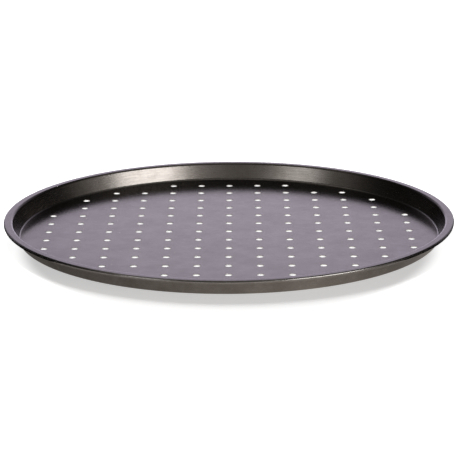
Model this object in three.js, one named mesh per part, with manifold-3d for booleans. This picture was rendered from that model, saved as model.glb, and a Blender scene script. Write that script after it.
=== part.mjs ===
// Round perforated pizza pan: a drawn and punched steel sheet whose edge is rolled round a wire.
// Millimetres, +Z up. The origin is the centre of the underside, on the surface the pan stands on.

import * as THREE from 'three';
import { mergeGeometries, mergeVertices } from 'three/addons/utils/BufferGeometryUtils.js';
import Module from 'manifold-3d';

const wasm = await Module();
wasm.setup();

// Driving dimensions of the pan
const PAN_DIAMETER = 328; // over the rolled edge
const PAN_HEIGHT = 12.5; // from the underside of the floor to the top of the rim
const SHEET_THICKNESS = 0.5;
const RIM_WIDTH = 4.9; // from the end of the shoulder to the outside of the rolled edge
const WALL_FLARE = THREE.MathUtils.degToRad(21); // from upright
const COVE_RADIUS = 1.5; // between floor and wall, on the hollow side of the bend
const SHOULDER_RADIUS = 1.5; // between wall and rim, on the hollow side of the bend

// Driving dimensions of the rolled edge
const WIRE_DIAMETER = 1.2;
const WIRE_CLEARANCE = 0.15; // between the wire and the sheet rolled round it
const CURL_GAP = 0.35; // between the tip of the rolled edge and the underside of the rim

// Driving dimensions of the holes, which lie on a square grid with one hole at the centre
const HOLE_DIAMETER = 5;
const HOLE_PITCH = 22;
const HOLE_LAND = 5; // least plain floor between the edge of a hole and the cove

// Facets
const RING_SEGMENTS = 72;
const COVE_STEPS = 3;
const SHOULDER_STEPS = 3;
const EDGE_STEPS = 3;
const CURL_STEPS = 6;
const WIRE_SIDES = 8;
const HOLE_SIDES = 8;

// Sizes that follow from the driving dimensions
const QUARTER = Math.PI / 2;
const wallSlope = QUARTER - WALL_FLARE;
const holeRadius = HOLE_DIAMETER / 2;
const wireRadius = WIRE_DIAMETER / 2;
const curlInside = wireRadius + WIRE_CLEARANCE;
const curlOutside = curlInside + SHEET_THICKNESS;
const curlCentre = new THREE.Vector2(PAN_DIAMETER / 2 - curlOutside, PAN_HEIGHT - curlOutside);
const curlTipAngle = Math.PI - Math.asin((curlInside - CURL_GAP) / curlOutside);
const shoulderOutside = SHOULDER_RADIUS + SHEET_THICKNESS;
const shoulderCentre = new THREE.Vector2(PAN_DIAMETER / 2 - RIM_WIDTH, PAN_HEIGHT - shoulderOutside);
const coveCentre = findCoveCentre();
const floorRadius = coveCentre.x;

// The centre of the cove, found by following the straight inner face of the wall down from the shoulder.
function findCoveCentre() {
  const height = SHEET_THICKNESS + COVE_RADIUS;
  const across = new THREE.Vector2(-Math.cos(WALL_FLARE), Math.sin(WALL_FLARE));
  const wallTop = shoulderCentre.clone().addScaledVector(across, shoulderOutside);
  const wallFoot = height - COVE_RADIUS * across.y;
  const run = (wallTop.y - wallFoot) * Math.tan(WALL_FLARE);
  return new THREE.Vector2(wallTop.x - run + COVE_RADIUS * across.x, height);
}

// The bends of the sheet from the floor outwards, each with the radius of its upper and its lower face.
function sheetBends() {
  const curl = { centre: curlCentre, upper: curlOutside, lower: curlInside };
  return [
    {
      centre: coveCentre,
      upper: COVE_RADIUS,
      lower: COVE_RADIUS + SHEET_THICKNESS,
      from: -QUARTER,
      to: -QUARTER + wallSlope,
      steps: COVE_STEPS,
    },
    {
      centre: shoulderCentre,
      upper: shoulderOutside,
      lower: SHOULDER_RADIUS,
      from: QUARTER + wallSlope,
      to: QUARTER,
      steps: SHOULDER_STEPS,
    },
    { ...curl, from: QUARTER, to: 0, steps: EDGE_STEPS },
    { ...curl, from: 0, to: curlTipAngle - 2 * Math.PI, steps: CURL_STEPS },
  ];
}

// One face of the sheet in section, from the axis at the given height through each bend to the rolled tip.
function faceOutline(face, floorHeight) {
  const points = [new THREE.Vector2(0, floorHeight)];
  for (const bend of sheetBends()) {
    const { centre, from, to, steps } = bend;
    const radius = bend[face];
    const arc = new THREE.EllipseCurve(centre.x, centre.y, radius, radius, from, to, to < from);
    points.push(...arc.getPoints(steps));
  }
  return points;
}

// A profile of radius and height, turned about the Z axis.
function turned(profile) {
  return new THREE.LatheGeometry(profile, RING_SEGMENTS).rotateX(QUARTER);
}

// The places of the holes that leave enough plain floor before the cove.
function holePlaces() {
  const reach = floorRadius - HOLE_LAND - holeRadius;
  const count = Math.floor(reach / HOLE_PITCH);
  const places = [];
  for (let row = -count; row <= count; row++) {
    for (let column = -count; column <= count; column++) {
      const place = new THREE.Vector2(column, row).multiplyScalar(HOLE_PITCH);
      if (place.length() <= reach) places.push(place);
    }
  }
  return places;
}

// The punches for all holes, each passing right through the floor.
function punches() {
  const length = 3 * SHEET_THICKNESS;
  const punch = new THREE.CylinderGeometry(holeRadius, holeRadius, length, HOLE_SIDES).rotateX(QUARTER);
  return mergeGeometries(
    holePlaces().map((place) => punch.clone().translate(place.x, place.y, SHEET_THICKNESS / 2)),
  );
}

// A closed solid from a geometry, without the empty triangles that a turned profile has on its axis.
function solidFrom(geometry) {
  const bare = geometry.clone();
  bare.deleteAttribute('normal');
  bare.deleteAttribute('uv');
  const merged = mergeVertices(bare);
  const corners = merged.index.array;
  const triangles = [];
  for (let i = 0; i < corners.length; i += 3) {
    const [a, b, c] = corners.slice(i, i + 3);
    if (a !== b && b !== c && c !== a) triangles.push(a, b, c);
  }
  return new wasm.Manifold(
    new wasm.Mesh({
      numProp: 3,
      vertProperties: new Float32Array(merged.attributes.position.array),
      triVerts: new Uint32Array(triangles),
    }),
  );
}

// The surface of a solid as a geometry.
function geometryFrom(solid) {
  const mesh = solid.getMesh();
  const geometry = new THREE.BufferGeometry();
  geometry.setAttribute('position', new THREE.BufferAttribute(mesh.vertProperties, 3));
  geometry.setIndex(new THREE.BufferAttribute(mesh.triVerts, 1));
  geometry.computeVertexNormals();
  return geometry;
}

// The sheet: floor, cove, wall, rim and rolled edge in one piece, with the holes punched through the floor.
function panPressing() {
  const upper = faceOutline('upper', SHEET_THICKNESS);
  const lower = faceOutline('lower', 0);
  const sheet = solidFrom(turned([...lower, ...upper.reverse()]));
  const coating = new THREE.MeshStandardMaterial({ color: 0x4a4646, roughness: 0.35, metalness: 0.7 });
  const mesh = new THREE.Mesh(geometryFrom(sheet.subtract(solidFrom(punches()))), coating);
  mesh.name = 'pan_pressing';
  return mesh;
}

// The wire ring that stiffens the edge.
function rimWire() {
  const section = new THREE.EllipseCurve(curlCentre.x, curlCentre.y, wireRadius, wireRadius);
  const steel = new THREE.MeshStandardMaterial({ color: 0x9a9a98, roughness: 0.4, metalness: 1 });
  const mesh = new THREE.Mesh(turned(section.getPoints(WIRE_SIDES)), steel);
  mesh.name = 'rim_wire';
  return mesh;
}

const group = new THREE.Group();
group.add(panPressing(), rimWire());

export default group;
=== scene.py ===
"""Dresses the solids of a round perforated pizza pan for a studio picture.

The pan is one sheet of coated steel: a flat floor punched with a square grid of holes, a low flared
wall, a flat rim, and an edge rolled round a wire. Lengths are in metres, +Z is up, and the origin is
the centre of the underside.
"""

import math
from types import SimpleNamespace

import bmesh
import bpy
import numpy as np
from bpy.props import FloatProperty, FloatVectorProperty, PointerProperty
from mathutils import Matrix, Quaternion, Vector


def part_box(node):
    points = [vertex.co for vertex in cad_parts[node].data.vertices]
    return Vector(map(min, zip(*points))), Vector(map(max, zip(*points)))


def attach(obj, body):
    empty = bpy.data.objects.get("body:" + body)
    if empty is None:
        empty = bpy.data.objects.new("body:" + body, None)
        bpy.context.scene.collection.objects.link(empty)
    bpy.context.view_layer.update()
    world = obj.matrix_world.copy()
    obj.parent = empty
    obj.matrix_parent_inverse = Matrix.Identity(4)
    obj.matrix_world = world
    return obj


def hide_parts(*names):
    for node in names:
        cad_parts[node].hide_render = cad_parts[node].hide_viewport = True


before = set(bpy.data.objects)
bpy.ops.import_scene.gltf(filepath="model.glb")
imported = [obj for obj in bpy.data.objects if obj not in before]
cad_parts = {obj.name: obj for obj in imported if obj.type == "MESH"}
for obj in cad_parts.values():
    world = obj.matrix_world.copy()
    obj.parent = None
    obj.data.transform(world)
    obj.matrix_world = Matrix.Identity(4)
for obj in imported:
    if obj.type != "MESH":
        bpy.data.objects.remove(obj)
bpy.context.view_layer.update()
PAN_LOW, PAN_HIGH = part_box("pan_pressing")
WIRE_LOW, WIRE_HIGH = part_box("rim_wire")

bl_info = {
    "name": "Perforated Pizza Pan",
    "version": (1, 0, 0),
    "blender": (4, 5, 0),
    "location": "3D View > Sidebar > Pizza Pan",
    "description": "Builds a coated pizza pan with a rolled rim, and the studio it stands in",
    "category": "Add Mesh",
}

QUARTER = math.pi / 2
FULL_TURN = 2 * math.pi

# Counts of mesh steps
SIDE_STEPS = 6  # along one side of the square of sheet round a hole, so a hole has four times as many
GAP_STEPS = 4  # along the plain sheet between two such squares
LIP_STEPS = 4
COVE_STEPS = 10
SHOULDER_STEPS = 9
CURL_STEPS = 28
WIRE_SIDES = 16
WIRE_STEPS = 240

# Fine sizes of the mesh
HOLE_MARGIN = 0.0007  # from the edge of a hole to the nearest side of its square of sheet
FLAT_MARGIN = 0.00008  # from the round of a hole's edge to the ring that keeps the sheet flat
COVE_MARGIN = 0.0005  # from the cove to the ring that keeps the floor flat
WALL_PLACES = (0.05, 0.35, 0.65, 0.95)  # shares of the way up the wall where its upper face has points
UNDER_WALL_PLACES = (0.05, 0.5, 0.95)  # shares of the way down where its lower face has points
RIM_PLACES = (0.08, 0.92)  # shares of the way out over the flat rim where its upper face has points
WELD_DISTANCE = 2e-6
SHARP_ANGLE = math.radians(40)

# Brushing, as a share of the wall's
SHOULDER_BRUSHED = 0.6
RIM_BRUSHED = 0.45
ROLL_BRUSHED = 0.3

# Wear, as a share of bare steel; on these bends it is also a lighter band that paints a highlight line
COVE_WEAR_AND_HIGHLIGHT = 0.42  # on the bend at the foot of the wall
SHOULDER_WEAR_AND_HIGHLIGHT = 0.08  # on the bend at the top of the wall
EDGE_WEAR_AND_HIGHLIGHT = 0.6  # along the upper outer edge of the roll
EDGE_SPAN = 0.25  # share of the roll, from its top, over which that wear and painted highlight lie

# Detail of the finishes
NOISE_SPAN = (0.3, 0.7)  # values between which nearly all of a noise lies
GRAIN_NOISE = {"Scale": 1.0, "Detail": 3.0, "Roughness": 0.6}
AXIS_GUARD = 0.001  # least distance from the axis that the turned grain reckons with
LINES = {"Across": 1500.0, "Around": 12.0}  # closeness and shortness of the brushed lines
HAIRS = {"Across": 4200.0, "Around": 40.0}  # the same, for the finest of them
DIE_LINES = {"Across": 5000.0, "Around": 30.0}  # the same, for the lines along the wire
CLOUDS = {"Scale": 40.0, "Detail": 5.0, "Roughness": 0.75}  # uneven tone of the coating
FLAKES = {"Scale": 1600.0, "Detail": 1.0}  # metal flakes in the coating
RUBBING = {"Scale": 420.0, "Detail": 3.0}  # unevenness of the wear
CLOUD_SHARE = 0.12  # how far the clouds pale the coating towards bare steel at most
RUBBED = (0.7, 1.0)  # share of the wear that shows, where it is least and where it is most
DULLED_REACH = (0.095, 0.135)  # distances from the axis where the dulled middle ends, and lustre is full
STREAK = 0.03  # roughness that the brushed lines add or take away at most
SPECK = 0.015  # the same, for the flakes
LINE_RELIEF = 0.7  # share of the brushed lines in the relief of the coating
HAIR_RELIEF = 0.3  # the same, for the finest of them
FLAKE_RELIEF = 0.35  # the same, for the flakes
COATING_RELIEF = 0.0000045  # height of that relief
WIRE_SHADE = 0.7  # brightness of the darkest lines of the wire, as a share of its own
WIRE_SPAN = (0.35, 0.7)  # values of those lines between which the wire goes from dark to bright
WIRE_ROUGHNESS = (0.32, 0.46)
WIRE_RELIEF = 0.00001
WHITE = (1.0, 1.0, 1.0, 1.0)
MIX_FACTOR, MIX_FIRST, MIX_SECOND = 0, 6, 7  # inputs of a Mix node that is set to colours
MIX_RESULT = 2  # its output


def length(name, description, default):
    """A length that a user may change."""
    return FloatProperty(
        name=name, description=description, default=default, min=0.0, precision=5, unit="LENGTH"
    )


def angle(name, description, degrees):
    """An angle that a user may change, given in degrees."""
    return FloatProperty(
        name=name, description=description, default=math.radians(degrees), subtype="ANGLE"
    )


def share(name, description, default, most=1.0):
    """A plain number from nothing to the most it may be."""
    return FloatProperty(name=name, description=description, default=default, min=0.0, max=most)


def colour(name, description, default):
    """A colour that a user may change."""
    return FloatVectorProperty(
        name=name, description=description, default=default, min=0.0, max=1.0, subtype="COLOR"
    )


class PanSizes(bpy.types.PropertyGroup):
    """Sizes of the sheet, its bends, its holes and the wire in its edge."""

    diameter: length("Diameter", "Across the rolled edge", PAN_HIGH.x - PAN_LOW.x)
    height: length("Height", "From the underside of the floor to the top of the rim", PAN_HIGH.z)
    sheet: length("Sheet", "Thickness of the sheet", 0.0005)
    rim_width: length("Rim width", "From the end of the shoulder to the outside of the roll", 0.0049)
    flare: angle("Flare", "Lean of the wall from upright", 21.0)
    cove: length("Cove", "Radius of the bend between floor and wall, on its hollow side", 0.0015)
    shoulder: length("Shoulder", "Radius of the bend between wall and rim, on its hollow side", 0.0015)
    wire: length("Wire", "Diameter of the wire in the rolled edge", WIRE_HIGH.z - WIRE_LOW.z)
    wire_clearance: length("Wire clearance", "Between the wire and the sheet round it", 0.00015)
    curl_gap: length("Curl gap", "Between the tip of the roll and the underside of the rim", 0.00035)
    hole: length("Hole", "Diameter of a hole in the floor", 0.005)
    pitch: length("Hole spacing", "Between the centres of neighbouring holes", 0.022)
    land: length("Hole land", "Least plain floor between the edge of a hole and the cove", 0.005)
    lip: length("Hole lip", "Round that the punch leaves on the upper edge of a hole", 0.00012)


class PanFinish(bpy.types.PropertyGroup):
    """Colours and surface of the coating and the wire."""

    coating: colour("Coating", "Metallic grey of the baked coating", (0.195, 0.177, 0.162))
    # Also the colour of the lighter bands on the bends, which paint highlight lines as well as wear
    bare: colour("Bare steel", "The wall of a hole, and where the coating is thin", (0.74, 0.73, 0.71))
    lustre: share("Lustre", "How far the coating shines like metal rather than paint", 0.99)
    dulled: share("Dulled lustre", "The same in the middle of the floor, dulled by use", 0.82)
    gloss: share("Floor roughness", "Roughness of the flat floor", 0.17)
    brushed: share("Brushed roughness", "Roughness of the wall, where the sheet was drawn", 0.26)
    wire_steel: colour("Wire steel", "Colour of the bare drawn wire", (0.60, 0.60, 0.59))


class Studio(bpy.types.PropertyGroup):
    """Light, floor and camera of the picture."""

    floor: colour("Floor", "Colour of the floor under the lamps", (0.70, 0.70, 0.70))
    floor_glow: share("Floor glow", "Light of the floor itself, which lifts it to white", 0.505)
    # The side glow paints out the cast shadow beyond an oval round the pan, and paints light under the
    # pan
    side_glow: share("Side glow", "How much more of that light it shows clear of the shadow", 0.45)
    backdrop: colour("Backdrop", "Pale light behind the pan, as metal mirrors it", (0.885, 0.81, 1.0))
    room: share("Room", "Light of the dim room round the pan", 0.012)
    room_tint: colour("Room tint", "Tint of it, and of the floor that metal mirrors", (1.0, 0.935, 0.88))
    room_front: share("Room in front", "Light of the room on the camera's side", 0.155)
    overhead: share("Overhead", "Light of the room above the pan and high behind it", 0.20)
    key: share("Key softbox", "Brightness of the softbox at the right of the camera", 4.42, 50.0)
    fill: share("Fill softbox", "Brightness of the softbox at the left of the camera", 1.78, 50.0)
    shade: share("Back light", "Light on the floor from the lamp that casts the shadow", 2.4, 50.0)
    lens: FloatProperty(
        name="Lens", description="Focal length on a 36 mm sensor", default=167.645, unit="CAMERA"
    )
    azimuth: angle("Camera azimuth", "Turn of the camera from the front to the right", 0.1002)
    elevation: angle("Camera elevation", "Height of the camera above the floor", 15.8856)
    roll: angle("Camera roll", "Turn of the camera about its own line of sight", -0.2746)
    distance: length("Camera distance", "From the camera to the point that it looks at", 1.59571)


# Shapes


def bend(centre, radius, start, end, steps):
    """An arc in section: points at equal angles from start to end on a circle about the centre."""
    turn = np.linspace(start, end, steps + 1)
    return np.column_stack((centre[0] + radius * np.cos(turn), centre[1] + radius * np.sin(turn)))


def between(first, last, shares):
    """Points on the straight line from first to last, at the given shares of its length."""
    step = np.asarray(shares)[:, None]
    return first + (last - first) * step


def wear_and_highlight_bend(most, steps, span=1.0):
    """Wear and painted highlight at the points of a bend: half a sine wave over a share of it, and
    nothing beyond.
    """
    along = np.linspace(0.0, 1.0 / span, steps + 1)
    return np.sin(math.pi * np.minimum(along, 1.0)) * most


def derived(sizes):
    """The bend centres and radii that follow from the sizes, and how far out the holes may lie.

    The roll lies under the top of the rim at its outermost radius, and the shoulder one rim width
    further in. The wall follows the tangent of the shoulder down at the flare, and the cove is the
    circle that touches both it and the floor.
    """
    roll_inside = sizes.wire / 2 + sizes.wire_clearance
    roll_outside = roll_inside + sizes.sheet
    roll = np.array((sizes.diameter / 2 - roll_outside, sizes.height - roll_outside))
    tip = math.pi - math.asin((roll_inside - sizes.curl_gap) / roll_outside)
    shoulder_outside = sizes.shoulder + sizes.sheet
    shoulder = np.array((sizes.diameter / 2 - sizes.rim_width, sizes.height - shoulder_outside))
    across = np.array((-math.cos(sizes.flare), math.sin(sizes.flare)))
    wall_top = shoulder + across * shoulder_outside
    cove_height = sizes.sheet + sizes.cove
    run = (wall_top[1] - cove_height + sizes.cove * across[1]) * math.tan(sizes.flare)
    cove = np.array((wall_top[0] - run + sizes.cove * across[0], cove_height))
    reach = cove[0] - sizes.land - sizes.hole / 2
    if cove[0] <= sizes.hole:
        raise ValueError("these sizes leave no floor inside the wall")
    return SimpleNamespace(
        roll=roll,
        roll_inside=roll_inside,
        roll_outside=roll_outside,
        tip=tip - FULL_TURN,
        shoulder=shoulder,
        shoulder_outside=shoulder_outside,
        cove=cove,
        slope=QUARTER - sizes.flare,
        reach=reach,
        most=int(reach // sizes.pitch),
    )


def sheet_section(sizes, form):
    """The section of the sheet outside the floor, from its upper face round the roll to its underside.

    Each row is radius, height, how far the wall's brushing shows there, and how far the coating has
    worn; on the cove, the shoulder and the roll that wear is also a lighter band that paints a highlight
    line. The upper face runs through the cove, the wall, the shoulder, the rim and round the outside of
    the roll, and the lower face comes back through the same bends one sheet thickness away.
    """
    wall = QUARTER + form.slope
    foot = -QUARTER + form.slope
    floor_edge = form.cove[0] - COVE_MARGIN
    up_cove = np.linspace(0.0, 1.0, COVE_STEPS + 1)
    cove_up = bend(form.cove, sizes.cove, -QUARTER, foot, COVE_STEPS)
    shoulder_up = bend(form.shoulder, form.shoulder_outside, wall, QUARTER, SHOULDER_STEPS)
    roll_out = bend(form.roll, form.roll_outside, QUARTER, form.tip, CURL_STEPS)
    roll_in = bend(form.roll, form.roll_inside, form.tip, QUARTER, CURL_STEPS // 2)
    shoulder_down = bend(form.shoulder, sizes.shoulder, QUARTER, wall, SHOULDER_STEPS // 2)
    cove_down = bend(form.cove, sizes.cove + sizes.sheet, foot, -QUARTER, COVE_STEPS)
    parts = (
        (np.array([[floor_edge, sizes.sheet]]), 0.0, 0.0),
        # The wear on the cove, shoulder and roll is also a lighter band that paints a highlight line
        (cove_up, up_cove**2, wear_and_highlight_bend(COVE_WEAR_AND_HIGHLIGHT, COVE_STEPS)),
        (between(cove_up[-1], shoulder_up[0], WALL_PLACES), 1.0, 0.0),
        (shoulder_up, SHOULDER_BRUSHED, wear_and_highlight_bend(SHOULDER_WEAR_AND_HIGHLIGHT, SHOULDER_STEPS)),
        (between(shoulder_up[-1], roll_out[0], RIM_PLACES), RIM_BRUSHED, 0.0),
        (roll_out, ROLL_BRUSHED, wear_and_highlight_bend(EDGE_WEAR_AND_HIGHLIGHT, CURL_STEPS, EDGE_SPAN)),
        (roll_in, 1.0, 0.0),
        (shoulder_down, 1.0, 0.0),
        (between(shoulder_down[-1], cove_down[0], UNDER_WALL_PLACES), 1.0, 0.0),
        (cove_down, up_cove[::-1], 0.0),
        (np.array([[floor_edge, 0.0]]), 0.0, 0.0),
    )
    rows = []
    for points, brushed, wear_and_highlight in parts:
        marks = [np.broadcast_to(mark, len(points)) for mark in (brushed, wear_and_highlight)]
        rows.append(np.column_stack((points, *marks)))
    return np.concatenate(rows)


def quads(count, rows, columns, closed=False):
    """Corner numbers of the faces of equal grids that follow one another.

    Each face joins a point, the next in its row, and the same two of the next row. A closed grid also
    joins its last column to its first.
    """
    start = np.arange(count)[:, None, None] * rows * columns
    row = np.arange(rows - 1)[None, :, None]
    here = np.arange(columns if closed else columns - 1)[None, None, :]
    there = (here + 1) % columns
    low, high = start + row * columns, start + (row + 1) * columns
    return np.stack((low + here, low + there, high + there, high + here), axis=-1).reshape(-1, 4)


def quarter_turns(points, turns):
    """Copies of flat points, turned about the axis by the given numbers of quarter turns."""
    x, y = points[..., 0], points[..., 1]
    turned = [(x, y), (-y, x), (-x, -y), (y, -x)]
    return np.concatenate([np.stack(turned[turn], axis=-1) for turn in turns])


def side_spread():
    """Places along a square's side where equal angles from its centre meet it, from -1 to 1."""
    return np.tan(np.linspace(-QUARTER / 2, QUARTER / 2, SIDE_STEPS + 1))


def hole_numbers(sizes, form):
    """Column and row numbers of the holes: all places of the grid that leave the least land."""
    count = np.arange(-form.most, form.most + 1)
    column, row = np.meshgrid(count, count)
    kept = np.hypot(column, row) * sizes.pitch <= form.reach
    return column[kept], row[kept]


def punched_squares(sizes, form, half):
    """The square of sheet round each hole, from its upper outline into the hole and out below.

    Across the angle, a ring of radius r is (r cos, r sin); the first and the last ring are the square's
    outline instead, where r is half the side over the larger of |cos| and |sin|. The rings between are
    the flat round the hole, the rounded lip that the punch leaves, the wall of the hole, which the punch
    cuts bare, and the flat underneath.
    """
    column, row = hole_numbers(sizes, form)
    radius = sizes.hole / 2
    lip_centre = (radius + sizes.lip, sizes.sheet - sizes.lip)
    lip = bend(lip_centre, sizes.lip, QUARTER, 2 * QUARTER, LIP_STEPS)
    flat = radius + sizes.lip + FLAT_MARGIN
    ring = np.concatenate(([[flat, sizes.sheet]], lip, [[radius, 0.0], [flat, 0.0]]))
    turn = np.arange(4 * SIDE_STEPS) * (QUARTER / SIDE_STEPS) - QUARTER / 2
    outline = half / np.maximum(np.abs(np.cos(turn)), np.abs(np.sin(turn)))
    inner = np.repeat(ring[:, :1], len(turn), axis=1)
    rings = np.concatenate((outline[None], inner, outline[None]))
    heights = np.concatenate(([sizes.sheet], ring[:, 1], [0.0]))
    centre = np.stack((column, row), axis=-1)[:, None, None, :] * sizes.pitch
    ray = np.stack((np.cos(turn), np.sin(turn)), axis=-1)
    points = with_height(centre + rings[None, :, :, None] * ray, heights[None, :, None])
    wear_and_highlight = np.concatenate(([0.0, 0.0], np.linspace(0.0, 1.0, LIP_STEPS + 1), [1.0, 0.0, 0.0]))
    return patch(points, 0.0, wear_and_highlight[None, :, None], closed=True)


def plain_sheet(sizes, form, half):
    """The plain floor between the squares, on its upper and lower face.

    A strip joins two neighbouring squares in a row; turned by a quarter, the strips join the columns. A
    field fills the middle of four squares. Both are flat grids whose points meet their neighbours'.
    """
    column, row = hole_numbers(sizes, form)
    limit = form.reach / sizes.pitch
    along = np.linspace(half, sizes.pitch - half, GAP_STEPS + 1)
    across = side_spread() * half
    strip = np.hypot(column + 1, row) <= limit
    field = strip & (np.hypot(column, row + 1) <= limit) & (np.hypot(column + 1, row + 1) <= limit)
    strips = flat_grids(column[strip], row[strip], along, across, sizes.pitch)
    fields = flat_grids(column[field], row[field], along, along, sizes.pitch)
    found = []
    for grids in (quarter_turns(strips, (0, 1)), fields):
        for height in (sizes.sheet, 0.0):
            found.append(patch(with_height(grids, height), 0.0, 0.0))
    return joined(found)


def flat_grids(column, row, along, across, pitch):
    """Flat grids of the given places along and across, one from the centre of each numbered hole."""
    x = column[:, None, None] * pitch + along[None, :, None]
    y = row[:, None, None] * pitch + across[None, None, :]
    return np.stack(np.broadcast_arrays(x, y), axis=-1)


def outer_sheet(sizes, form, half):
    """The sheet outside the field of holes: the edge of the floor, the wall, the rim and the roll.

    The field of holes ends in a stair of straight sides. From each point of a side the section of the
    sheet is carried outwards along the line from the axis through that point, so a point at the angle a
    and the radius r of the section lies at (r cos a, r sin a), and the first and the last row lie on the
    stair itself.
    """
    rows = np.arange(-form.most, form.most + 1)
    last = np.floor(np.sqrt((form.reach / sizes.pitch) ** 2 - rows**2))
    gap_last = np.minimum(last[:-1], last[1:])
    along = np.linspace(half, sizes.pitch - half, GAP_STEPS + 1)
    squares = stair_sides(last, rows, side_spread() * half, sizes.pitch, half)
    gaps = stair_sides(gap_last, rows[:-1], along, sizes.pitch, half)
    section = sheet_section(sizes, form)
    heights = np.concatenate(([sizes.sheet], section[:, 1], [0.0]))
    brushed, wear_and_highlight = np.pad(section[:, 2], 1), np.pad(section[:, 3], 1)
    found = []
    for side in (squares, gaps):
        start = quarter_turns(side, (0, 1, 2, 3))
        ray = start / np.linalg.norm(start, axis=-1, keepdims=True)
        carried = ray[:, :, None, :] * section[None, None, :, :1]
        flat_points = np.concatenate((start[:, :, None], carried, start[:, :, None]), axis=2)
        points = with_height(flat_points, heights[None, None, :])
        found.append(patch(points, brushed[None, None, :], wear_and_highlight[None, None, :]))
    return joined(found)


def stair_sides(last, rows, along, pitch, half):
    """The sides of the stair that face +X: half a square beyond the last hole of each row."""
    x = np.repeat((last * pitch + half)[:, None], len(along), axis=1)
    y = rows[:, None] * pitch + along[None, :]
    return np.stack((x, y), axis=-1)


def with_height(flat_points, heights):
    """Flat points with their heights as the third number."""
    height = np.broadcast_to(heights, flat_points.shape[:-1])
    return np.concatenate((flat_points, height[..., None]), axis=-1)


def patch(points, brushed, wear_and_highlight, closed=False):
    """Grids of points as one list of points, faces, and brushing and wear (with painted highlight) at
    each point.
    """
    count, rows, columns = points.shape[:3]
    return SimpleNamespace(
        points=points.reshape(-1, 3),
        faces=quads(count, rows, columns, closed),
        brushed=np.broadcast_to(brushed, points.shape[:3]).ravel(),
        wear_and_highlight=np.broadcast_to(wear_and_highlight, points.shape[:3]).ravel(),
    )


def joined(patches):
    """Several patches as one, with the corner numbers of each moved past the points before it."""
    starts = np.cumsum([0] + [len(part.points) for part in patches[:-1]])
    return SimpleNamespace(
        points=np.concatenate([part.points for part in patches]),
        faces=np.concatenate([part.faces + start for part, start in zip(patches, starts)]),
        brushed=np.concatenate([part.brushed for part in patches]),
        wear_and_highlight=np.concatenate([part.wear_and_highlight for part in patches]),
    )


def wire_ring(sizes, form):
    """The wire as a ring.

    At the angles a round the axis and b round the wire, a point lies at radius R + r cos b and height
    h + r sin b, where R and h are those of the middle of the rolled edge.
    """
    section = bend(form.roll, sizes.wire / 2, 0.0, FULL_TURN, WIRE_SIDES)[:-1]
    turn = np.linspace(0.0, FULL_TURN, WIRE_STEPS + 1)
    ray = np.stack((np.cos(turn), np.sin(turn)), axis=-1)
    points = with_height(ray[:, None, :] * section[None, :, :1], section[None, :, 1])
    return patch(points[None], 1.0, 0.0, closed=True)


def new_mesh(name, points, faces, material):
    """A mesh of points and faces in one material."""
    mesh = bpy.data.meshes.new(name)
    mesh.from_pydata(points, [], faces)
    mesh.materials.append(material)
    return mesh


def placed(name, data):
    """A new object in the scene, at the origin."""
    made = bpy.data.objects.new(name, data)
    bpy.context.scene.collection.objects.link(made)
    return made


def make_piece(name, surface, material):
    """A closed piece from a surface, welded where its patches meet, its faces outwards and smooth."""
    mesh = new_mesh(name, surface.points, surface.faces, material)
    for label in ("brushed", "wear_and_highlight"):
        layer = mesh.attributes.new(label, "FLOAT", "POINT")
        values = np.ascontiguousarray(getattr(surface, label), dtype=np.float32)
        layer.data.foreach_set("value", values)
    shape = bmesh.new()
    shape.from_mesh(mesh)
    bmesh.ops.remove_doubles(shape, verts=shape.verts, dist=WELD_DISTANCE)
    bmesh.ops.recalc_face_normals(shape, faces=shape.faces)
    open_edges = sum(not edge.is_manifold for edge in shape.edges)
    shape.to_mesh(mesh)
    shape.free()
    if open_edges:
        raise ValueError(f"{name} has {open_edges} edges that are not closed")
    mesh.polygons.foreach_set("use_smooth", np.ones(len(mesh.polygons), dtype=bool))
    mesh.set_sharp_from_angle(angle=SHARP_ANGLE)
    return placed(name, mesh)


# Finishes


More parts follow.
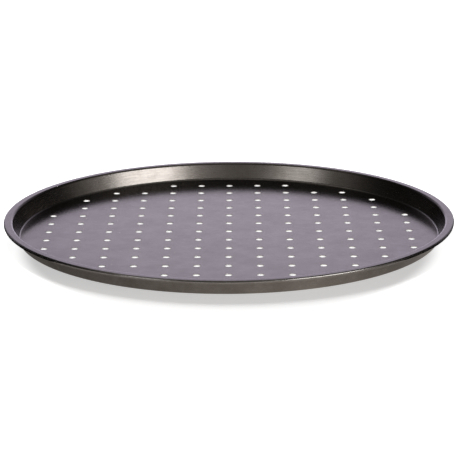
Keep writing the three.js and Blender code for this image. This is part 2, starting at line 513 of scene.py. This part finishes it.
class Nodes:
    """A short way to place and join the nodes of one tree."""

    def __init__(self, tree):
        self.tree = tree
        tree.nodes.clear()

    def add(self, kind, inputs=None, **settings):
        """A node with its settings, and with each input set to a value or joined to an output."""
        node = self.tree.nodes.new(kind)
        for name, value in settings.items():
            setattr(node, name, value)
        for name, value in (inputs or {}).items():
            if isinstance(value, bpy.types.NodeSocket):
                self.tree.links.new(value, node.inputs[name])
            else:
                node.inputs[name].default_value = value
        return node

    def math(self, operation, *values):
        """The result of a sum of one to three numbers or outputs."""
        return self.add("ShaderNodeMath", dict(enumerate(values)), operation=operation).outputs[0]

    def vector(self, operation, *values):
        """The result of a sum of one to three vectors or outputs."""
        node = self.add("ShaderNodeVectorMath", dict(enumerate(values)), operation=operation)
        return node.outputs["Vector"]

    def distance(self, place):
        """How far a place is from the origin."""
        return self.add("ShaderNodeVectorMath", {0: place}, operation="LENGTH").outputs["Value"]

    def ramp(self, value, low, high, to_low=0.0, to_high=1.0):
        """A value led smoothly from one range to another."""
        inputs = {
            "Value": value,
            "From Min": low,
            "From Max": high,
            "To Min": to_low,
            "To Max": to_high,
        }
        node = self.add("ShaderNodeMapRange", inputs, interpolation_type="SMOOTHSTEP")
        return node.outputs["Result"]

    def mix(self, factor, first, second):
        """A colour between two colours."""
        inputs = {MIX_FACTOR: factor, MIX_FIRST: first, MIX_SECOND: second}
        return self.add("ShaderNodeMix", inputs, data_type="RGBA").outputs[MIX_RESULT]

    def noise(self, place, settings):
        """Cloudy noise at a place."""
        return self.add("ShaderNodeTexNoise", {"Vector": place, **settings}).outputs["Fac"]

    def grain(self, place, settings):
        """The turned grain at a place."""
        inputs = {"Position": place, **settings}
        return self.add("ShaderNodeGroup", inputs, node_tree=turned_grain()).outputs["Grain"]

    def rays(self):
        """Whether the camera itself looks at a point, and whether it does so through metal or glass."""
        path = self.add("ShaderNodeLightPath").outputs
        mirrored = self.math("MAXIMUM", path["Is Glossy Ray"], path["Is Transmission Ray"])
        return path["Is Camera Ray"], mirrored

    def skin(self, tone, metallic, roughness, relief, height):
        """The end of a metal finish: its shader, with a relief of a given height."""
        bump = self.add("ShaderNodeBump", {"Height": relief, "Strength": 1.0, "Distance": height})
        inputs = {
            "Base Color": tone,
            "Metallic": metallic,
            "Roughness": roughness,
            "Normal": bump.outputs["Normal"],
        }
        shader = self.add("ShaderNodeBsdfPrincipled", inputs)
        self.add("ShaderNodeOutputMaterial", {"Surface": shader.outputs["BSDF"]})


def opaque(rgb):
    """A colour property as red, green, blue and full cover."""
    return (*rgb, 1.0)


def turned_grain():
    """A node group of fine lines that run round the axis, as drawing and brushing leave them.

    It is noise in four dimensions: the cosine and sine of the angle, drawn out by Around, and the radius
    and the height, packed close by Across. So it has no seam, and it changes fast up the wall and slowly
    along it.
    """
    name = "Turned grain"
    if name in bpy.data.node_groups:
        return bpy.data.node_groups[name]
    tree = bpy.data.node_groups.new(name, "ShaderNodeTree")
    tree.interface.new_socket("Position", in_out="INPUT", socket_type="NodeSocketVector")
    tree.interface.new_socket("Across", in_out="INPUT", socket_type="NodeSocketFloat")
    tree.interface.new_socket("Around", in_out="INPUT", socket_type="NodeSocketFloat")
    tree.interface.new_socket("Grain", in_out="OUTPUT", socket_type="NodeSocketFloat")
    nodes = Nodes(tree)
    given = nodes.add("NodeGroupInput").outputs
    x, y, z = nodes.add("ShaderNodeSeparateXYZ", {"Vector": given["Position"]}).outputs
    square = nodes.math("ADD", nodes.math("MULTIPLY", x, x), nodes.math("MULTIPLY", y, y))
    radius = nodes.math("MAXIMUM", nodes.math("SQRT", square), AXIS_GUARD)
    stretch = nodes.math("DIVIDE", given["Around"], radius)
    lines = {
        "X": nodes.math("MULTIPLY", x, stretch),
        "Y": nodes.math("MULTIPLY", y, stretch),
        "Z": nodes.math("MULTIPLY", radius, given["Across"]),
    }
    place = {
        "Vector": nodes.add("ShaderNodeCombineXYZ", lines).outputs["Vector"],
        "W": nodes.math("MULTIPLY", z, given["Across"]),
    }
    noise = nodes.add("ShaderNodeTexNoise", {**place, **GRAIN_NOISE}, noise_dimensions="4D")
    nodes.add("NodeGroupOutput", {"Grain": noise.outputs["Fac"]})
    return tree


def new_material(name):
    """An empty material and its nodes."""
    material = bpy.data.materials.new(name)
    material.use_nodes = True
    return material, Nodes(material.node_tree)


def coating_material(finish):
    """Dark grey baked coating with a metallic lustre: even on the floor, brushed round wall and rim."""
    material, nodes = new_material("nonstick_coating")
    position = nodes.add("ShaderNodeTexCoord").outputs["Object"]
    brushed = nodes.add("ShaderNodeAttribute", attribute_name="brushed").outputs["Fac"]
    wear_and_highlight = nodes.add("ShaderNodeAttribute", attribute_name="wear_and_highlight").outputs["Fac"]
    lines = nodes.grain(position, LINES)
    hairs = nodes.grain(position, HAIRS)
    cloud = nodes.noise(position, CLOUDS)
    flake = nodes.noise(position, FLAKES)
    rub = nodes.noise(position, RUBBING)

    paler = nodes.ramp(cloud, *NOISE_SPAN, 0.0, CLOUD_SHARE)
    # The bare share also carries the lighter bands on the bends, which paint highlight lines as well as
    # wear
    bare = nodes.math("MULTIPLY", wear_and_highlight, nodes.ramp(rub, *NOISE_SPAN, *RUBBED))
    tone = nodes.mix(nodes.math("ADD", paler, bare), opaque(finish.coating), opaque(finish.bare))

    radius = nodes.distance(nodes.vector("MULTIPLY", position, (1.0, 1.0, 0.0)))
    shine = nodes.ramp(radius, *DULLED_REACH, finish.dulled, finish.lustre)

    drawn = nodes.math("MULTIPLY", brushed, finish.brushed - finish.gloss)
    streak = nodes.math("MULTIPLY", brushed, nodes.ramp(lines, *NOISE_SPAN, -STREAK, STREAK))
    speck = nodes.ramp(flake, *NOISE_SPAN, -SPECK, SPECK)
    plain = nodes.math("ADD", finish.gloss, drawn)
    rough = nodes.math("ADD", plain, nodes.math("ADD", streak, speck))

    fine = nodes.math("MULTIPLY", hairs, HAIR_RELIEF)
    ridges = nodes.math("ADD", nodes.math("MULTIPLY", lines, LINE_RELIEF), fine)
    relief = nodes.math("MULTIPLY_ADD", ridges, brushed, nodes.math("MULTIPLY", flake, FLAKE_RELIEF))
    nodes.skin(tone, shine, rough, relief, COATING_RELIEF)
    return material


def wire_material(finish):
    """Bare drawn steel, with the die's fine lines along the wire."""
    material, nodes = new_material("drawn_wire_steel")
    lines = nodes.grain(nodes.add("ShaderNodeTexCoord").outputs["Object"], DIE_LINES)
    darker = tuple(WIRE_SHADE * part for part in finish.wire_steel)
    tone = nodes.mix(nodes.ramp(lines, *WIRE_SPAN), opaque(darker), opaque(finish.wire_steel))
    rough = nodes.ramp(lines, *NOISE_SPAN, *WIRE_ROUGHNESS)
    nodes.skin(tone, 1.0, rough, lines, WIRE_RELIEF)
    return material


# Studio

# The floor, and what it shows
FLOOR_HALF = 8.0
FLOOR_DROP = 0.0001
SHADOW_MIDDLE = (-0.0005, -0.030)  # of the oval outside which the glow paints out the cast shadow, so the shadow's outline there is painted
SHADOW_SQUEEZE = 0.85  # share of a distance to the front or back, beside one to the side
SHADOW_REACH = (0.139, 0.154)  # distances from its middle where the glow outside begins, and is full
UNDER_REACH = (0.150, 0.147)  # distances from the pan's axis where the glow under it begins, and is full
UNDER_SHARE = 0.26  # that glow, painted light over the pan's shadow that shows white through the holes, as a share of the glow outside
MIRRORED_REACH = (-0.19, 0.12)  # places from left to right between which the mirrored glow rises
MIRRORED_GLOW = (0.12, 0.58)
MIRRORED_FALL = (0.045, 0.125)  # places between which that glow falls again
MIRRORED_REST = 0.55  # share of it that is left there

# The black cards
CARD_RADII = (0.162, 0.7)
CARD_TURNS = (-38.0, 90.0)  # degrees from the side of the pan, to the front and to the back
CARD_STEPS = 32
CARD_BLACK = (0.005, 0.005, 0.005, 1.0)

# The softboxes and the glow round them; a place is degrees to the right of the front, and up
SOFTBOX_DISTANCE = 2.0
KEY_PLACE = (50.0, 28.5)
KEY_SIZE = (1.25, 0.62)
FILL_PLACE = (-43.0, 28.5)
FILL_SIZE = (0.75, 0.62)
HALO_SHARE = 0.13  # brightness of the glow round a softbox, as a share of its own
HALO_FULL = 0.16  # share of its reach within which that glow is full
HALO_HEIGHT = 20.0  # degrees above the horizon of its middle
KEY_HALO = (60.5, 36.0)  # degrees across and up from its middle to its end
FILL_HALO = (53.0, 26.0)
BOUNCE_LIMIT = 0.5  # fewer bounces off dull surfaces than this means none

# The back light
BACK_LIGHT_DISTANCE = 6.0
BACK_LIGHT_ELEVATION = 37.0
BACK_LIGHT_TURN = 8.0  # degrees from straight behind towards the left
BACK_LIGHT_SIZE = (1.2, 3.9)

# The room and the backdrop, in degrees from straight behind and above the horizon
BACKDROP_ACROSS = (28.0, 0.0)  # where the backdrop ends at the side, and where it is full
BACKDROP_UP = (34.0, 12.0)  # the same, upwards
WIDE_ACROSS = (54.0, 24.0)  # where its fainter sides end, and where they are full
WIDE_UP = (6.0, 17.0)  # where they begin above the horizon, and where they are full
WIDE_SHARE = 0.30  # brightness of those sides, as a share of its own
HORIZON_ACROSS = (28.0, 12.0)  # where the bright horizon ends at the side, and where it is full
HORIZON_UP = (13.0, 3.0)  # the same, upwards
HORIZON_SHARE = 0.4  # what it adds, as a share of the backdrop
OVERHEAD_UP = (44.0, 62.0)  # where the light overhead begins, and where it is full
OVERHEAD_BACK = (-0.25, -0.05)  # how far back a direction points where it begins, and where it is full
FRONT_REACH = (-0.55, -0.85)  # the same, for the light on the camera's side

# The camera
AIM = Vector((0.004402, -0.008747, 0.0))  # the point that it looks at
SENSOR_WIDTH = 36.0


def radians(degrees):
    """Several angles, from degrees."""
    return tuple(map(math.radians, degrees))


def bearing(azimuth, elevation):
    """The direction at an azimuth from the front to the right, and an elevation above the floor."""
    flat = math.cos(elevation)
    return Vector((math.sin(azimuth) * flat, -math.cos(azimuth) * flat, math.sin(elevation)))


def floor_material(studio):
    """Pale floor: lit by the lamps, so that it keeps the shadow, with a glow that lifts it to white.

    The glow is fullest outside an oval, where it paints out the cast shadow, so the shadow's outline
    there is painted; some of it lies under the pan, painted light over the pan's shadow that shows
    through the holes. Metal sees another one in the room's tint, which rises from left to right and then
    falls again. From below the floor can be seen through.
    """
    material, nodes = new_material("studio_floor")
    camera, mirrored = nodes.rays()
    place = nodes.add("ShaderNodeTexCoord").outputs["Object"]
    across = nodes.add("ShaderNodeSeparateXYZ", {"Vector": place}).outputs["X"]
    squeeze = Vector((1.0, SHADOW_SQUEEZE, 1.0))
    middle = Vector((*SHADOW_MIDDLE, 0.0)) * squeeze
    oval = nodes.vector("MULTIPLY_ADD", place, squeeze, -middle)
    outside = nodes.ramp(nodes.distance(oval), *SHADOW_REACH, 0.0, studio.side_glow)
    under = nodes.ramp(nodes.distance(place), *UNDER_REACH, 0.0, studio.side_glow * UNDER_SHARE)
    raised = nodes.math("ADD", nodes.math("MAXIMUM", outside, under), studio.floor_glow)
    seen = nodes.math("MULTIPLY", camera, raised)
    rise = nodes.ramp(across, *MIRRORED_REACH, *MIRRORED_GLOW)
    fall = nodes.ramp(across, *MIRRORED_FALL, 1.0, MIRRORED_REST)
    glow = nodes.math("MULTIPLY_ADD", mirrored, nodes.math("MULTIPLY", rise, fall), seen)
    tint = nodes.mix(mirrored, WHITE, opaque(studio.room_tint))
    lit = nodes.add("ShaderNodeBsdfDiffuse", {"Color": opaque(studio.floor)}).outputs["BSDF"]
    white = nodes.add("ShaderNodeEmission", {"Color": tint, "Strength": glow}).outputs["Emission"]
    top = nodes.add("ShaderNodeAddShader", {0: lit, 1: white}).outputs["Shader"]
    below = nodes.add("ShaderNodeNewGeometry").outputs["Backfacing"]
    clear = nodes.add("ShaderNodeBsdfTransparent").outputs["BSDF"]
    both = nodes.add("ShaderNodeMixShader", {0: below, 1: top, 2: clear}).outputs["Shader"]
    nodes.add("ShaderNodeOutputMaterial", {"Surface": both})
    return material


def make_floor(studio):
    """A square of floor just under the pan: corners at plus and minus its half side."""
    square = np.array(((-1, -1, 0), (1, -1, 0), (1, 1, 0), (-1, 1, 0)))
    corners = square * FLOOR_HALF - (0, 0, FLOOR_DROP)
    mesh = new_mesh("studio_floor", corners, [(0, 1, 2, 3)], floor_material(studio))
    floor = placed("studio_floor", mesh)


def make_cards():
    """Two black cards flat on the floor at the sides, cut to the round of the pan, that only metal sees.

    A point lies at (r cos a, r sin a) for r from the inner to the outer radius and a over the turns that
    a card covers, and the other card is its mirror image. They give the rolled edge its dark line.
    """
    material, nodes = new_material("black_card")
    black = nodes.add("ShaderNodeBsdfDiffuse", {"Color": CARD_BLACK}).outputs["BSDF"]
    nodes.add("ShaderNodeOutputMaterial", {"Surface": black})
    turn = np.radians(np.linspace(*CARD_TURNS, CARD_STEPS + 1))
    ray = np.stack((np.cos(turn), np.sin(turn)), axis=-1)
    right = np.stack([ray * radius for radius in CARD_RADII])
    both = np.stack((right, right * (-1, 1)))
    surface = patch(with_height(both, -FLOOR_DROP / 2), 0.0, 0.0)
    cards = placed("black_cards", new_mesh("black_cards", surface.points, surface.faces, material))
    for sight in ("camera", "diffuse", "transmission", "shadow"):
        setattr(cards, "visible_" + sight, False)


def window(nodes, aside, rise, across, up, most):
    """How far a direction lies in a soft-edged window behind the pan: its share across times up."""
    wide = nodes.ramp(aside, *radians(across), 0.0, most)
    return nodes.math("MULTIPLY", wide, nodes.ramp(rise, *radians(up)))


def make_world(studio):
    """A dim room, brighter on the camera's side, overhead and round the softboxes, open behind.

    Through the open back metal and glass see a pale backdrop with fainter sides and a bright horizon.
    The camera itself sees white all round.
    """
    world = bpy.data.worlds.new("studio_room")
    world.use_nodes = True
    bpy.context.scene.world = world
    nodes = Nodes(world.node_tree)
    camera, mirrored = nodes.rays()
    way = nodes.add("ShaderNodeTexCoord").outputs["Generated"]
    x, y, z = nodes.add("ShaderNodeSeparateXYZ", {"Vector": way}).outputs
    rise = nodes.math("ARCSINE", z)
    turn = nodes.math("ARCTAN2", x, nodes.math("MULTIPLY", y, -1.0))
    aside = nodes.math("ABSOLUTE", nodes.math("ARCTAN2", x, y))

    front = nodes.ramp(y, *FRONT_REACH, studio.room, studio.room_front)
    high = nodes.ramp(rise, *radians(OVERHEAD_UP), 0.0, studio.overhead)
    dim = nodes.math("ADD", front, nodes.math("MULTIPLY", high, nodes.ramp(y, *OVERHEAD_BACK)))
    halos = ((KEY_PLACE, KEY_HALO, studio.key), (FILL_PLACE, FILL_HALO, studio.fill))
    for place, reach, brightness in halos:
        wide, tall = radians(reach)
        off = nodes.math("DIVIDE", nodes.math("SUBTRACT", turn, math.radians(place[0])), wide)
        up = nodes.math("DIVIDE", nodes.math("SUBTRACT", rise, math.radians(HALO_HEIGHT)), tall)
        square = nodes.math("MULTIPLY_ADD", off, off, nodes.math("MULTIPLY", up, up))
        away = nodes.math("SQRT", square)
        dim = nodes.math("ADD", dim, nodes.ramp(away, 1.0, HALO_FULL, 0.0, brightness * HALO_SHARE))
    tinted = {0: studio.room_tint, "Scale": dim}
    room = nodes.add("ShaderNodeVectorMath", tinted, operation="SCALE").outputs["Vector"]

    middle = nodes.ramp(aside, *radians(BACKDROP_ACROSS))
    sides = window(nodes, aside, rise, WIDE_ACROSS, WIDE_UP, WIDE_SHARE)
    height = nodes.ramp(rise, *radians(BACKDROP_UP))
    pale = nodes.math("MULTIPLY", nodes.math("MAXIMUM", middle, sides), height)
    low = window(nodes, aside, rise, HORIZON_ACROSS, HORIZON_UP, HORIZON_SHARE)
    behind = nodes.math("MULTIPLY", mirrored, pale)
    horizon = nodes.math("MULTIPLY", mirrored, low)
    opened = nodes.mix(behind, room, opaque(studio.backdrop))
    lifted = nodes.vector("MULTIPLY_ADD", studio.backdrop, horizon, opened)
    shown = nodes.mix(camera, lifted, WHITE)
    light = nodes.add("ShaderNodeBackground", {"Color": shown, "Strength": 1.0}).outputs["Background"]
    nodes.add("ShaderNodeOutputWorld", {"Surface": light})


def placed_lamp(name, lamp, way, distance):
    """A lamp at a distance along a direction, facing the pan."""
    light = placed(name, lamp)
    light.location = way * distance
    light.rotation_euler = way.to_track_quat("Z", "Y").to_euler()
    return light


def make_softbox(name, place, size, brightness):
    """A rectangular softbox that faces the pan, of an even brightness over its area.

    Metal sees it directly. It lights no dull surface, and none through metal either, so it leaves no
    stray flecks.
    """
    lamp = bpy.data.lights.new(name, "AREA")
    lamp.shape = "RECTANGLE"
    lamp.size, lamp.size_y = size
    lamp.energy = brightness * math.pi * size[0] * size[1]
    lamp.use_nodes = True
    nodes = Nodes(lamp.node_tree)
    bounces = nodes.add("ShaderNodeLightPath").outputs["Diffuse Depth"]
    straight = nodes.math("LESS_THAN", bounces, BOUNCE_LIMIT)
    direct = nodes.add("ShaderNodeEmission", {"Strength": straight}).outputs["Emission"]
    nodes.add("ShaderNodeOutputLight", {"Surface": direct})
    softbox = placed_lamp(name, lamp, bearing(*radians(place)), SOFTBOX_DISTANCE)
    softbox.visible_diffuse = False


def make_back_light(studio):
    """A tall narrow lamp behind the pan that lights the floor and casts the shadow in front.

    Metal doesn't see it.
    """
    lamp = bpy.data.lights.new("back_light", "AREA")
    lamp.shape = "ELLIPSE"
    lamp.size, lamp.size_y = BACK_LIGHT_SIZE
    slope = math.radians(BACK_LIGHT_ELEVATION)
    lamp.energy = studio.shade * math.pi * BACK_LIGHT_DISTANCE**2 / math.sin(slope)
    way = bearing(-math.pi + math.radians(BACK_LIGHT_TURN), slope)
    light = placed_lamp("back_light", lamp, way, BACK_LIGHT_DISTANCE)
    light.visible_glossy = False


def make_camera(studio):
    """The camera, looking down at the pan from the front through a long lens."""
    lens = bpy.data.cameras.new("camera")
    lens.lens = studio.lens
    lens.sensor_width = SENSOR_WIDTH
    back = bearing(studio.azimuth, studio.elevation)
    camera = placed("camera", lens)
    camera.location = AIM + back * studio.distance
    camera.rotation_mode = "QUATERNION"
    level = (-back).to_track_quat("-Z", "Y")
    camera.rotation_quaternion = level @ Quaternion((0.0, 0.0, 1.0), studio.roll)
    bpy.context.scene.camera = camera


# Add-on


class PIZZA_PAN_OT_coated_sheet(bpy.types.Operator):
    """Make the punched, drawn and coated sheet with its rolled edge"""

    bl_idname = "pizza_pan.coated_sheet"
    bl_label = "Coated Sheet"

    def execute(self, context):
        sizes = context.scene.pizza_pan_sizes
        form = derived(sizes)
        half = sizes.hole / 2 + HOLE_MARGIN
        shapes = [make(sizes, form, half) for make in (punched_squares, plain_sheet, outer_sheet)]
        coating = coating_material(context.scene.pizza_pan_finish)
        piece = make_piece("coated_sheet", joined(shapes), coating)
        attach(piece, "root")
        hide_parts("pan_pressing")
        return {"FINISHED"}


class PIZZA_PAN_OT_edge_wire(bpy.types.Operator):
    """Make the wire ring inside the rolled edge"""

    bl_idname = "pizza_pan.edge_wire"
    bl_label = "Edge Wire"

    def execute(self, context):
        sizes = context.scene.pizza_pan_sizes
        ring = wire_ring(sizes, derived(sizes))
        piece = make_piece("edge_wire", ring, wire_material(context.scene.pizza_pan_finish))
        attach(piece, "root")
        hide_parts("rim_wire")
        return {"FINISHED"}


class PIZZA_PAN_OT_studio(bpy.types.Operator):
    """Make the floor, the lights and the camera"""

    bl_idname = "pizza_pan.studio"
    bl_label = "Studio"

    def execute(self, context):
        studio = context.scene.pizza_pan_studio
        context.scene.view_settings.view_transform = "Standard"
        make_floor(studio)
        make_cards()
        make_world(studio)
        make_softbox("key_softbox", KEY_PLACE, KEY_SIZE, studio.key)
        make_softbox("fill_softbox", FILL_PLACE, FILL_SIZE, studio.fill)
        make_back_light(studio)
        make_camera(studio)
        return {"FINISHED"}


class PIZZA_PAN_PT_panel(bpy.types.Panel):
    """Lists the pan's pieces, and the sizes and colours that they are made from"""

    bl_idname = "PIZZA_PAN_PT_panel"
    bl_label = "Pizza Pan"
    bl_space_type = "VIEW_3D"
    bl_region_type = "UI"
    bl_category = "Pizza Pan"

    def draw(self, context):
        for operator in OPERATORS:
            self.layout.operator(operator.bl_idname)
        for name in GROUPS:
            box = self.layout.box()
            settings = getattr(context.scene, name)
            for setting in settings.bl_rna.properties:
                if setting.identifier not in ("rna_type", "name"):
                    box.prop(settings, setting.identifier)


GROUPS = {"pizza_pan_sizes": PanSizes, "pizza_pan_finish": PanFinish, "pizza_pan_studio": Studio}
OPERATORS = (PIZZA_PAN_OT_coated_sheet, PIZZA_PAN_OT_edge_wire, PIZZA_PAN_OT_studio)
CLASSES = (*GROUPS.values(), *OPERATORS, PIZZA_PAN_PT_panel)


def register():
    """Makes the classes known, and gives each scene the three groups of settings."""
    for made in CLASSES:
        bpy.utils.register_class(made)
    for name, group in GROUPS.items():
        setattr(bpy.types.Scene, name, PointerProperty(type=group))


def unregister():
    """Takes back what register did."""
    for name in GROUPS:
        delattr(bpy.types.Scene, name)
    for made in reversed(CLASSES):
        bpy.utils.unregister_class(made)


def main():
    """Makes the pan and its studio."""
    register()
    bpy.ops.pizza_pan.coated_sheet()
    bpy.ops.pizza_pan.edge_wire()
    bpy.ops.pizza_pan.studio()


if __name__ == "__main__":
    main()
